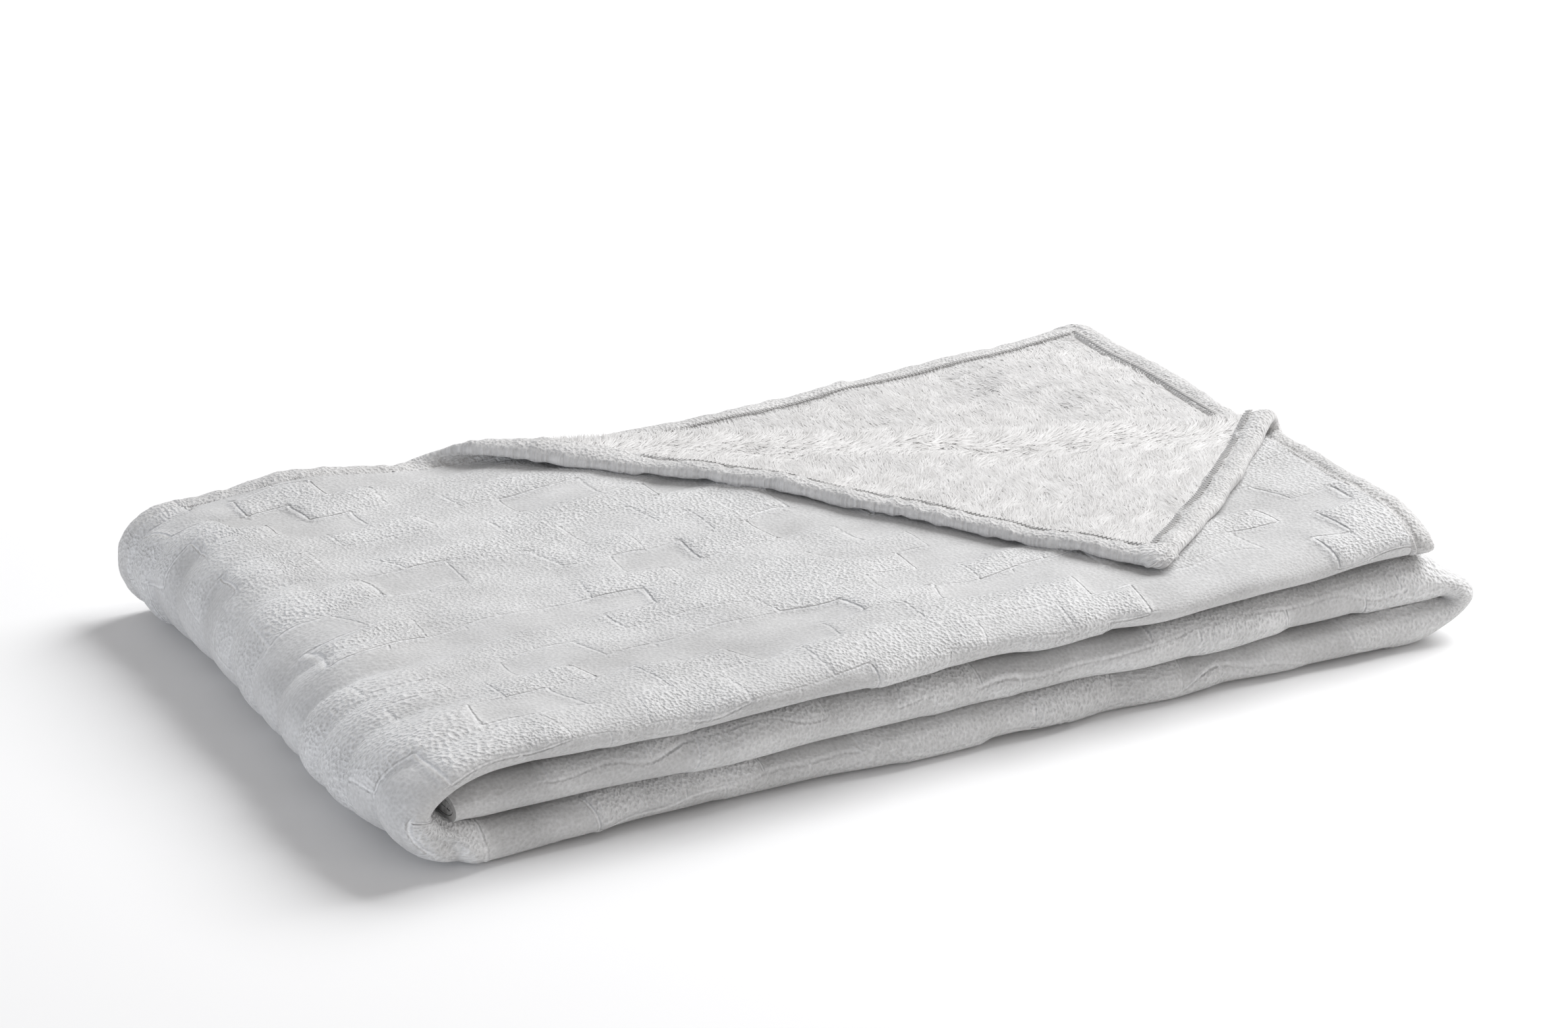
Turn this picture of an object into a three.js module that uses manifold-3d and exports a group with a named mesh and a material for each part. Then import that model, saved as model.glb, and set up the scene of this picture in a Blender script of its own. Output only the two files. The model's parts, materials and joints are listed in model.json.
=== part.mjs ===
// A double-sided plush throw, folded for the shelf with one corner turned back.
//
// The cloth is a grey embossed face joined back to back with a longer white reverse.
// It is folded in half twice towards the front edge, reverse inside first, which makes a strip
// of four plies with all its folds at the front and its hems at the back. The strip is then
// folded in three along its length: the right third is turned over the middle one, and the left
// third is brought over both. The back right corner of the top ply is turned over, so that its
// reverse shows.
//
// Millimetres, +Z up. X runs along the front folds and +Y runs towards the back hems. The origin
// is on the floor, under the middle of the folded throw.

import * as THREE from 'three';
import { mergeVertices } from 'three/addons/utils/BufferGeometryUtils.js';
import Module from 'manifold-3d';

const wasm = await Module();
wasm.setup();

// ---- driving dimensions -------------------------------------------------------------------

const foldedLength = 670;      // outside of the left wrap to outside of the right fold
const foldedDepth = 422;       // front folds to the back hem at the left end
const faceCloth = 2.0;         // grey face, pile included
const reverseCloth = 3.0;      // white reverse, pile included
const gap = 0.3;               // air between two cloths that lie on each other
const hemWidth = 20;           // cloth turned in at every edge
const stitchInset = 12;        // from the hem's outer edge to the stitching
const stitchWidth = 4.5;       // across the two needle rows and the looper thread between them
const stitchRise = 0.8;        // thread standing on the cloth
const stitchStart = 12;        // from the crease to the first stitch
const frontReach = 300;        // middle of the throw to the top strip's side edge, at the front
const sideSpread = 32;         // how much further right that edge lies at the back
const backDrop = 22;           // how much nearer the front the back edge lies at its right end
const cornerAlongBack = 496;   // turned corner, from the cloth's corner along the back hem
const cornerAlongSide = 224;   // and along the side hem
const lowerBackInset = 8;      // lower strips' back edges, in from the wrap's back edge
const tuckRoom = 4;            // left wrap's axis to the free end of the middle strip

// ---- sizes that follow from them ----------------------------------------------------------

const ply = faceCloth + gap + reverseCloth;
const plyPitch = ply + gap;
const stripPlies = 4;
const stripPitch = stripPlies * plyPitch;
const stripHeight = stripPitch - gap;
const wrapRadius = (3 * stripPitch - gap) / 2;
const foldRadius = (2 * stripPitch - gap) / 2;
const leftEnd = -foldedLength / 2 + wrapRadius;
const rightEnd = foldedLength / 2 - foldRadius;
const front = -foldedDepth / 2;
const back = foldedDepth / 2;
const lowerBack = back - lowerBackInset;
const topLevel = 2 * stripPitch;
const flapLevel = stripHeight + gap;
const secondPlyTop = stripHeight - plyPitch;
const creaseRadius = (2 * ply + gap) / 2;
const curveSteps = 10;

// ---- cloths -------------------------------------------------------------------------------

const finishes = {
  face: { color: 0xb9b8ba, roughness: 0.92, metalness: 0 },
  reverse: { color: 0xe9e6e2, roughness: 0.97, metalness: 0 },
  hem: { color: 0xb3b1b1, roughness: 0.92, metalness: 0 },
  thread: { color: 0xa3a1a0, roughness: 0.7, metalness: 0 },
};

function mesh(name, geometry, finish) {
  const result = new THREE.Mesh(geometry, new THREE.MeshStandardMaterial(finishes[finish]));
  result.name = name;
  return result;
}

// ---- solids -------------------------------------------------------------------------------

function toSolid(geometry) {
  const bare = geometry.clone();
  bare.deleteAttribute('normal');
  bare.deleteAttribute('uv');
  const merged = mergeVertices(bare, 1e-4);
  return new wasm.Manifold(new wasm.Mesh({
    numProp: 3,
    vertProperties: new Float32Array(merged.attributes.position.array),
    triVerts: new Uint32Array(merged.index.array),
  }));
}

function toGeometry(solid) {
  const data = solid.getMesh();
  const geometry = new THREE.BufferGeometry();
  geometry.setAttribute('position', new THREE.BufferAttribute(data.vertProperties, 3));
  geometry.setIndex(new THREE.BufferAttribute(data.triVerts, 1));
  geometry.computeVertexNormals();
  return geometry;
}

function extrude(shape, depth) {
  return new THREE.ExtrudeGeometry(shape, { depth, bevelEnabled: false, curveSegments: curveSteps });
}

// A flat piece: a plan outline of [x, y] points, given a thickness upwards from z.
function plate(points, z, thickness) {
  const outline = new THREE.Shape(points.map(([x, y]) => new THREE.Vector2(x, y)));
  return extrude(outline, thickness).translate(0, 0, z);
}

// A hairpin section: two straight arms joined by a half ring. The arms run from the bend's
// centre to `ends`, and the bend bulges the other way.
function hairpin(centre, ends, zLow, zHigh, thickness) {
  const middle = (zLow + zHigh) / 2;
  const radius = (zHigh - zLow) / 2;
  const bulgesForward = ends > centre;
  const shape = new THREE.Shape();
  shape.moveTo(ends, zHigh);
  shape.lineTo(centre, zHigh);
  shape.absarc(centre, middle, radius, Math.PI / 2, -Math.PI / 2, !bulgesForward);
  shape.lineTo(ends, zLow);
  shape.lineTo(ends, zLow + thickness);
  shape.lineTo(centre, zLow + thickness);
  shape.absarc(centre, middle, radius - thickness, -Math.PI / 2, Math.PI / 2, bulgesForward);
  shape.lineTo(ends, zHigh - thickness);
  shape.closePath();
  return shape;
}

// Half a ring that bulges to the left or to the right of its axis.
function halfRing(axis, middle, outer, thickness, bulgesLeft) {
  const start = bulgesLeft ? Math.PI / 2 : -Math.PI / 2;
  const shape = new THREE.Shape();
  shape.absarc(axis, middle, outer, start, start + Math.PI, false);
  shape.absarc(axis, middle, outer - thickness, start + Math.PI, start, true);
  shape.closePath();
  return shape;
}

// A section drawn in Y and Z, run along X.
function alongX(shape, xStart, xEnd) {
  const turn = new THREE.Matrix4().makeBasis(
    new THREE.Vector3(0, 1, 0),
    new THREE.Vector3(0, 0, 1),
    new THREE.Vector3(1, 0, 0),
  );
  return extrude(shape, xEnd - xStart).applyMatrix4(turn).translate(xStart, 0, 0);
}

// A section drawn in X and Z, run along Y.
function alongY(shape, yStart, yEnd) {
  const turn = new THREE.Matrix4().makeBasis(
    new THREE.Vector3(1, 0, 0),
    new THREE.Vector3(0, 0, 1),
    new THREE.Vector3(0, -1, 0),
  );
  return extrude(shape, yEnd - yStart).applyMatrix4(turn).translate(0, yEnd, 0);
}

// A mesh built along X from the origin, laid along the plan line from one point to another.
function laidAlong(part, from, to) {
  part.position.set(from[0], from[1], 0);
  part.rotation.z = Math.atan2(to[1] - from[1], to[0] - from[0]);
  return part;
}

// ---- plan lines of the top strip ----------------------------------------------------------

const span = ([from, to]) => Math.hypot(to[0] - from[0], to[1] - from[1]);

const stepAlong = (line, distance) => [0, 1].map(
  (i) => line[0][i] + ((line[1][i] - line[0][i]) / span(line)) * distance,
);

// A line moved sideways to the left of the way it runs.
const shifted = (line, distance) => {
  const [from, to] = line;
  const side = [-(to[1] - from[1]) / span(line), (to[0] - from[0]) / span(line)];
  return line.map((point) => point.map((value, i) => value + side[i] * distance));
};

const crossing = ([a, b], [c, d]) => {
  const run = [b[0] - a[0], b[1] - a[1]];
  const other = [d[0] - c[0], d[1] - c[1]];
  const turn = run[0] * other[1] - run[1] * other[0];
  const share = ((c[0] - a[0]) * other[1] - (c[1] - a[1]) * other[0]) / turn;
  return [a[0] + run[0] * share, a[1] + run[1] * share];
};

// The outline between four lines, each crossing the next.
const between = (...lines) => lines.map((line, i) => crossing(line, lines[(i + 1) % lines.length]));

const frontRight = [frontReach, front];
const farRight = frontReach + sideSpread;
const backRight = [farRight, back - backDrop];
const backEdge = [backRight, [leftEnd, back]];
const sideEdge = [frontRight, backRight];
const leftLine = [[leftEnd + gap, back], [leftEnd + gap, front]];
const frontLine = [[0, front - 1], [1, front - 1]];
const creaseBack = stepAlong(backEdge, cornerAlongBack);
const creaseSide = stepAlong([backRight, frontRight], cornerAlongSide);
const creaseLine = [creaseSide, creaseBack];

// Each edge's hem is a band between its edge and its hem line; the cloth stops a gap short of it.
const backHemLine = shifted(backEdge, hemWidth);
const sideHemLine = shifted(sideEdge, hemWidth);
const backClothLine = shifted(backEdge, hemWidth + gap);
const sideClothLine = shifted(sideEdge, hemWidth + gap);
const creasePanelLine = shifted(creaseLine, gap);
const creaseFlapLine = shifted(creaseLine, -gap);
const pastCreaseLine = shifted(creaseLine, -(creaseRadius + gap));

// A plan outline turned over about the crease.
function turnedOver(points) {
  const [px, py] = creaseBack;
  const twice = 2 * Math.atan2(creaseSide[1] - py, creaseSide[0] - px);
  return points.map(([x, y]) => [
    px + (x - px) * Math.cos(twice) + (y - py) * Math.sin(twice),
    py + (x - px) * Math.sin(twice) - (y - py) * Math.cos(twice),
  ]);
}

// ---- one strip of four plies --------------------------------------------------------------

// The cloths nest from the outside of the fold inwards: face, reverse, reverse, face.
const layers = [
  { name: 'outer_face', thickness: faceCloth, inset: 0, finish: 'face' },
  { name: 'outer_reverse', thickness: reverseCloth, inset: faceCloth + gap, finish: 'reverse' },
  { name: 'inner_reverse', thickness: reverseCloth, inset: plyPitch, finish: 'reverse' },
  { name: 'inner_face', thickness: faceCloth, inset: plyPitch + reverseCloth + gap, finish: 'face' },
];

const bend = front + stripHeight / 2;

function folded({ thickness, inset }, xStart, xEnd, armEnd) {
  return alongX(hairpin(bend, armEnd, inset, stripHeight - inset, thickness), xStart, xEnd);
}

// The fold at the back that joins the two plies with no hem there, for an edge on the line y = 0.
function backFold(name, length, zLow) {
  const height = 2 * plyPitch - gap;
  const section = hairpin(-height / 2, -hemWidth, zLow, zLow + height, ply);
  return mesh(name, alongX(section, 0, length), 'face');
}

// A lower strip. Its two hemmed plies lie at the bottom, or at the top once it is turned over.
function lowerStrip(name, level, xStart, hemLevels, foldLevel) {
  const group = new THREE.Group();
  group.position.z = level;
  const armEnd = lowerBack - hemWidth - gap;
  const xEnd = rightEnd - gap;
  for (const layer of layers) {
    group.add(mesh(`${name}_${layer.name}`, folded(layer, xStart, xEnd, armEnd), layer.finish));
  }
  for (const [sheet, z] of Object.entries(hemLevels)) {
    const outline = [
      [xStart, lowerBack - hemWidth],
      [xEnd, lowerBack - hemWidth],
      [xEnd, lowerBack],
      [xStart, lowerBack],
    ];
    group.add(mesh(`${name}_${sheet}_back_hem`, plate(outline, z, ply), 'hem'));
  }
  const fold = backFold(`${name}_back_fold`, xEnd - xStart, foldLevel);
  group.add(laidAlong(fold, [xStart, lowerBack], [xEnd, lowerBack]));
  return group;
}

// The free end of the middle strip, where each folded sheet is hemmed all round its hairpin.
function middleSideHems(xStart) {
  const group = new THREE.Group();
  group.position.z = stripPitch;
  ['outer', 'inner'].forEach((sheet, i) => {
    const hem = { thickness: ply, inset: i * plyPitch };
    const geometry = folded(hem, xStart, xStart + hemWidth, lowerBack - hemWidth - gap);
    group.add(mesh(`middle_strip_${sheet}_side_hem`, geometry, 'hem'));
  });
  return group;
}

// ---- the turned ends ----------------------------------------------------------------------

// Four plies turned round an axis along Y. The two outer ones end in a hem at the back.
function turnedEnd(name, axis, middle, radius, bulgesLeft, edge) {
  const group = new THREE.Group();
  for (let i = 0; i < stripPlies; i += 1) {
    const section = halfRing(axis, middle, radius - i * plyPitch, ply, bulgesLeft);
    const hemmed = i < 2;
    const clothEnd = hemmed ? edge - hemWidth - gap : edge;
    group.add(mesh(`${name}_ply_${i + 1}`, alongY(section, front, clothEnd), 'face'));
    if (hemmed) {
      group.add(mesh(`${name}_hem_${i + 1}`, alongY(section, edge - hemWidth, edge), 'hem'));
    }
  }
  return group;
}

// ---- stitching ----------------------------------------------------------------------------

// The two lines that bound the stitching along an edge, on the cloth side of it.
const stitchLines = (edge) => [shifted(edge, stitchInset), shifted(edge, stitchInset + stitchWidth)];

// A stitched band along an edge, between the lines that start and end it.
function stitching(name, edge, startLine, endLine, z) {
  const [outer, inner] = stitchLines(edge);
  const outline = between(outer, endLine, inner, startLine);
  return mesh(`${name}_stitching`, plate(outline, z + gap, stitchRise), 'thread');
}

// ---- the top strip ------------------------------------------------------------------------

// Cuts a folded sheet to a plan outline; the outer sheet's upper arm also stops at the crease.
function cutToPlan(geometry, outline, stopsAtCrease) {
  const tall = 2 * stripPitch;
  let solid = toSolid(geometry).intersect(toSolid(plate(outline, -tall, 2 * tall)));
  if (stopsAtCrease) {
    const nearSide = stepAlong([creasePanelLine[1], creasePanelLine[0]], foldedLength);
    const nearBack = stepAlong(creasePanelLine, foldedLength);
    const beyond = [nearSide, nearBack, ...shifted([nearBack, nearSide], foldedLength)];
    solid = solid.subtract(toSolid(plate(beyond, stripHeight - plyPitch, tall)));
  }
  return toGeometry(solid);
}

// A sheet's side hem runs all round its hairpin, from the back hem above to the one below.
function sideHems() {
  const outline = between(sideHemLine, frontLine, sideEdge, backClothLine);
  return ['outer', 'inner'].map((sheet, i) => {
    const hem = { thickness: ply, inset: i * plyPitch };
    const geometry = cutToPlan(folded(hem, 0, farRight, back), outline, i === 0);
    return mesh(`top_strip_${sheet}_side_hem`, geometry, 'hem');
  });
}

function backHems() {
  const outer = between(leftLine, backHemLine, creasePanelLine, backEdge);
  const inner = between(leftLine, backHemLine, sideEdge, backEdge);
  return [
    mesh('top_strip_outer_back_hem', plate(outer, stripHeight - ply, ply), 'hem'),
    mesh('top_strip_inner_back_hem', plate(inner, secondPlyTop - ply, ply), 'hem'),
  ];
}

function topStrip() {
  const group = new THREE.Group();
  group.position.z = topLevel;
  const outline = between(leftLine, frontLine, sideClothLine, backClothLine);
  for (const layer of layers) {
    const isOuter = layer.name.startsWith('outer');
    const sheet = folded(layer, leftEnd + gap, farRight, back);
    const geometry = cutToPlan(sheet, outline, isOuter);
    group.add(mesh(`top_strip_${layer.name}`, geometry, layer.finish));
  }
  group.add(...sideHems(), ...backHems());
  const lean = (hemWidth * backDrop) / span(backEdge);
  const fold = backFold('top_strip_back_fold', span(backEdge) - gap - lean, 0);
  group.add(laidAlong(fold, stepAlong([backEdge[1], backEdge[0]], gap + lean), backRight));
  return group;
}

// The stitching that shows on the top ply and, past the crease, on the second ply.
function topStripStitching() {
  const group = new THREE.Group();
  group.position.z = topLevel;
  const besideCrease = [creaseBack, [creaseBack[0], front]];
  const beforeCrease = shifted(creaseLine, 2 * stitchStart);
  const nearFront = [[0, bend], [1, bend]];
  const backStart = shifted(backEdge, stitchInset + stitchWidth + stitchStart);
  group.add(stitching('top_strip_outer_back', backEdge, besideCrease, leftLine, stripHeight));
  group.add(stitching('top_strip_outer_side', sideEdge, nearFront, beforeCrease, stripHeight));
  group.add(stitching('top_strip_inner_back', backEdge, sideClothLine, pastCreaseLine, secondPlyTop));
  group.add(stitching('top_strip_inner_side', sideEdge, pastCreaseLine, backStart, secondPlyTop));
  return group;
}

// ---- the turned corner --------------------------------------------------------------------

// The cloth of the turned corner, laid over about the crease with its reverse upwards.
function cornerFlap() {
  const group = new THREE.Group();
  group.position.z = topLevel + flapLevel;
  const cloth = turnedOver(between(creaseFlapLine, backClothLine, sideClothLine));
  const backHem = turnedOver(between(creaseFlapLine, backHemLine, sideEdge, backEdge));
  const sideHem = turnedOver(between(creaseFlapLine, sideHemLine, backClothLine, sideEdge));
  group.add(mesh('corner_flap_face', plate(cloth, 0, faceCloth), 'face'));
  group.add(mesh('corner_flap_reverse', plate(cloth, faceCloth + gap, reverseCloth), 'reverse'));
  group.add(mesh('corner_flap_back_hem', plate(backHem, 0, ply), 'hem'));
  group.add(mesh('corner_flap_side_hem', plate(sideHem, 0, ply), 'hem'));
  return group;
}

function cornerFlapStitching() {
  const group = new THREE.Group();
  group.position.z = topLevel + flapLevel;
  const offCrease = shifted(creaseLine, -stitchStart);
  const sideEnd = shifted(backEdge, stitchInset + stitchWidth + stitchStart);
  const edges = { back: [backEdge, sideClothLine], side: [sideEdge, sideEnd] };
  for (const [name, [edge, endLine]] of Object.entries(edges)) {
    const [outer, inner] = stitchLines(edge);
    const outline = turnedOver(between(outer, endLine, inner, offCrease));
    const band = plate(outline, ply + gap, stitchRise);
    group.add(mesh(`corner_flap_${name}_stitching`, band, 'thread'));
  }
  return group;
}

// The bend that joins the top ply to the turned corner, with the reverse outside.
function creaseBend() {
  const group = new THREE.Group();
  const middle = topLevel + stripHeight + gap / 2;
  const cloths = [
    ['reverse', creaseRadius, reverseCloth],
    ['face', creaseRadius - reverseCloth - gap, faceCloth],
  ];
  for (const [name, outer, thickness] of cloths) {
    const section = new THREE.Shape();
    section.absarc(0, middle, outer, -Math.PI / 2, Math.PI / 2, false);
    section.absarc(0, middle, outer - thickness, Math.PI / 2, -Math.PI / 2, true);
    section.closePath();
    const part = mesh(`crease_bend_${name}`, alongX(section, 0, span(creaseLine)), name);
    group.add(laidAlong(part, creaseBack, creaseSide));
  }
  return group;
}

// ---- the folded throw ---------------------------------------------------------------------

const throwBlanket = new THREE.Group();
throwBlanket.name = 'folded_throw';
const middleStart = leftEnd + tuckRoom;
const middleClothStart = middleStart + hemWidth + gap;
const hemsBelow = { outer: 0, inner: plyPitch };
const hemsAbove = { outer: 3 * plyPitch, inner: 2 * plyPitch };
throwBlanket.add(
  lowerStrip('bottom_strip', 0, leftEnd + gap, hemsBelow, 2 * plyPitch),
  lowerStrip('middle_strip', stripPitch, middleClothStart, hemsAbove, 0),
  middleSideHems(middleStart),
  turnedEnd('right_fold', rightEnd, foldRadius, foldRadius, false, lowerBack),
  turnedEnd('left_wrap', leftEnd, wrapRadius, wrapRadius, true, back),
  topStrip(),
  topStripStitching(),
  creaseBend(),
  cornerFlap(),
  cornerFlapStitching(),
);

export default throwBlanket;
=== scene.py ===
# A folded double-sided plush throw: a grey embossed face backed with a longer white pile.
#
# The throw is one cloth. Its place is worked out in two steps. A point of the flat cloth has
# a run (u), along the strip that the throw was folded into, and a reach (v), across that strip's
# four plies from the hem of the top ply to the hem of the second. section() folds the reach into
# four plies, and path() lays the strip out: along the top, round the wrap at the left, back
# along the bottom, up round the fold at the right, and along the middle.
#
# Sizes are in millimetres until a mesh is made, and Blender's metres from there on.

import json
import math

import bmesh
import bpy
import numpy as np
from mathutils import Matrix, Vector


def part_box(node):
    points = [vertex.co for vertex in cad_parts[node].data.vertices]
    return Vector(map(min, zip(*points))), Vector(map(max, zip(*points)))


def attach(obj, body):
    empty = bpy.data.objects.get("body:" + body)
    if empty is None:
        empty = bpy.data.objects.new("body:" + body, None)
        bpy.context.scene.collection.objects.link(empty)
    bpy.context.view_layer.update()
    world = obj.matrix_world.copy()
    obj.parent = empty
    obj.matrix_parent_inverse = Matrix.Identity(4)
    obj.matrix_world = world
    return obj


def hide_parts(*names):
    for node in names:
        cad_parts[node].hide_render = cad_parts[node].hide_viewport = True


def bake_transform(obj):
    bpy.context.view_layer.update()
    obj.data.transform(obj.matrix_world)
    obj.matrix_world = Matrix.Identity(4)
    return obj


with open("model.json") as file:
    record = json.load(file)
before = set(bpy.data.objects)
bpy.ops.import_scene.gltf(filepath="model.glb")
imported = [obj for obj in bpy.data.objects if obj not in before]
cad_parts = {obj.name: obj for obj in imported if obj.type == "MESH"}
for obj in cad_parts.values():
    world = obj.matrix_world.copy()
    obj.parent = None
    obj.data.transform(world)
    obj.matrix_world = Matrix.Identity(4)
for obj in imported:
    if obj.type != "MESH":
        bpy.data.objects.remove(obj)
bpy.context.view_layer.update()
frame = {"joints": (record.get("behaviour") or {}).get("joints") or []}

MM = 0.001


# ---- sizes, from the frame ------------------------------------------------------------------


def corner_mm(node, high):
    """A node's lowest or highest corner in millimetres."""
    return [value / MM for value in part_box(node)[1 if high else 0]]


LEFT, FRONT, FLOOR = corner_mm("left_wrap_ply_1", False)
WRAP_AXIS, _, TOP = corner_mm("left_wrap_ply_1", True)
RIGHT = corner_mm("right_fold_ply_1", True)[0]
FOLD_AXIS = corner_mm("right_fold_ply_1", False)[0]
LOWER_BACK = corner_mm("bottom_strip_outer_back_hem", True)[1]
SIDE_BACK = corner_mm("top_strip_inner_side_hem", True)[0]
SIDE_FRONT = SIDE_BACK - 20
STRIP = TOP / 3
PITCH = STRIP / 4
CLOTH = 4.8
OUTER = 1.5 * PITCH
INNER = 0.5 * PITCH
BASE_Z = STRIP / 2
MIDDLE_Z = BASE_Z + STRIP
TOP_Z = BASE_Z + 2 * STRIP

WRAP_START = WRAP_AXIS + 20
WRAP_DEPTH = WRAP_START - LEFT - STRIP / 2
WRAP_RUN = 116
BASE_RUN = FOLD_AXIS - WRAP_START
FOLD_DEPTH = RIGHT - FOLD_AXIS - STRIP / 2 + 1
FOLD_RUN = 42
BASE_END = -WRAP_RUN - BASE_RUN
MIDDLE_START = BASE_END - FOLD_RUN
MIDDLE_END = MIDDLE_START - BASE_RUN - 25

HEM = 17.2
BACK_FOLD = 3.2

turn = next(j for j in frame["joints"] if j["name"] == "corner_turn")


# ---- smooth helpers -------------------------------------------------------------------------


def smooth(x):
    """A soft step from 0 to 1."""
    x = np.clip(x, 0, 1)
    return x * x * (3 - 2 * x)


def hump(x, centre, width):
    """A rounded rise of 1 at its centre."""
    return np.exp(-(((x - centre) / width) ** 2))


def swell(x, y, size, seed):
    """Gentle random relief, about -1 to 1, with swells about `size` across."""
    rng = np.random.default_rng(seed)
    total = 0
    waves = 7
    for _ in range(waves):
        way, start = rng.uniform(0, 2 * math.pi, 2)
        pitch = size * rng.uniform(0.7, 1.6)
        along = x * math.cos(way) + y * math.sin(way)
        total = total + np.sin(along * 2 * math.pi / pitch + start)
    return total / math.sqrt(waves)


def scatter(a, b, seed):
    """A fixed random number from 0 to 1 for each pair of whole numbers."""
    value = np.sin(a * 127.1 + b * 311.7 + seed * 74.7) * 43758.5453
    return value - np.floor(value)


# ---- the embossed blocks --------------------------------------------------------------------

BLOCK = 54
ROW = 26
RELIEF = 2.1


def pattern_place(u, v):
    """The cloth's place in the embossed pattern, whose rows and columns wander a little."""
    along = u + 7 * swell(u, v, 170, 5) + 2.5 * swell(u, v, 60, 6)
    across = v + 6 * swell(u, v, 190, 7) + 2 * swell(u, v, 55, 8)
    return along, across


def level(row, along):
    """How high a row's block stands at a place along it: 0, a half or 1."""
    column = np.floor((along + BLOCK / 2 * ((row + 1) % 2)) / BLOCK)
    return np.floor(3 * scatter(row, column, 7)) / 2


def emboss(u, v):
    """How high the embossed pattern of offset blocks stands, and how near a step in it is."""
    along, across = pattern_place(u, v)
    row = np.floor(across / ROW)
    across = across - row * ROW
    into = np.mod(along + BLOCK / 2 * ((row + 1) % 2), BLOCK)
    own = level(row, along)
    height, step = own, 0
    beside = ((-1, 0, across), (1, 0, ROW - across), (0, -1, into), (0, 1, BLOCK - into))
    for rows, columns, distance in beside:
        change = level(row + rows, along + columns * BLOCK) - own
        height = height + change * 0.5 * (1 - smooth(distance / 5))
        step = np.maximum(step, np.abs(change) * (1 - smooth(distance / 6)))
    return height, step


def pulled(u, v):
    """The plump bands that the pattern is pulled into round the wrap."""
    _, across = pattern_place(u, v)
    band = np.abs(np.sin(across * math.pi / 37 + 0.5 * swell(u, v, 150, 9))) ** 0.6
    return 1.9 * (band - 0.72) * smooth((45 - u) / 60) * smooth((u + WRAP_RUN + 20) / 50)


# ---- the strip's path -----------------------------------------------------------------------


def path(u):
    """Where the strip's middle runs: x, z, and its outward direction (x, z)."""
    wrap = np.clip(-u / WRAP_RUN, 0, 1) * math.pi
    fold = np.clip((BASE_END - u) / FOLD_RUN, 0, 1) * math.pi
    on_base = np.clip(-u - WRAP_RUN, 0, BASE_RUN)
    on_middle = np.maximum(MIDDLE_START - u, 0)
    x = WRAP_START + np.maximum(u, 0) - WRAP_DEPTH * np.sin(wrap)
    x = x + on_base + FOLD_DEPTH * np.sin(fold) - on_middle
    z = TOP_Z - STRIP * (1 - np.cos(wrap)) + STRIP / 2 * (1 - np.cos(fold))
    in_wrap = u > BASE_END
    nx = np.where(in_wrap, -np.sin(wrap) * STRIP, np.sin(fold) * STRIP / 2)
    nz = np.where(in_wrap, np.cos(wrap) * WRAP_DEPTH, -np.cos(fold) * FOLD_DEPTH)
    size = np.hypot(nx, nz)
    return x, z, nx / size, nz / size


# ---- the section's folds --------------------------------------------------------------------


def front_line(u):
    """How far forward the fold's middle reaches."""
    wave = 2.2 * swell(u, 0 * u, 170, 11) + 1.3 * swell(u, 0 * u, 45, 12)
    tuck = -2 * hump(u, -0.6 * WRAP_RUN, 0.3 * WRAP_RUN) - 5 * hump(u, MIDDLE_START + 25, 50)
    return FRONT + CLOTH / 2 + 1 + wave + tuck


def fold_depth(u):
    """How deep the rounding of the front fold is."""
    places = [MIDDLE_END, MIDDLE_START, BASE_END, -WRAP_RUN, -0.5 * WRAP_RUN, 0, 60]
    return np.interp(u, places, [13, 12, 12, 14, 20, 29, 35])


def back_line(u):
    """How far back the hems reach."""
    x = WRAP_START + u
    on_top = 191 + 20 * hump(x, LEFT, 125) - 19 * hump(x, 60, 170)
    lower = LOWER_BACK + 1.2 * swell(u, 0 * u, 120, 13)
    return lower + (on_top - lower) * smooth(1 + u / WRAP_RUN)


def breaks(u):
    """The reach at which each arm and bend of the section begins, from the top ply's hem on."""
    back, depth = back_line(u), fold_depth(u)
    bend = front_line(u) + depth
    inner_depth = depth - PITCH
    arc = math.pi * np.sqrt((depth**2 + OUTER**2) / 2)
    inner_arc = math.pi * np.sqrt((inner_depth**2 + INNER**2) / 2)
    small_arc = math.pi * (BACK_FOLD + INNER) / 2
    arm = back - BACK_FOLD - CLOTH / 2 - bend
    marks = [back, bend]
    for step in (arc, arm, small_arc, arm, inner_arc, back - bend):
        marks.append(marks[-1] - step)
    return marks


def reach(t, u):
    """The reach of a place counted in arms and bends: 0 is the first hem and 7 the last."""
    marks = breaks(u)
    v = marks[0]
    for i in range(7):
        v = v + np.clip(t - i, 0, 1) * (marks[i + 1] - marks[i])
    return v


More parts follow.
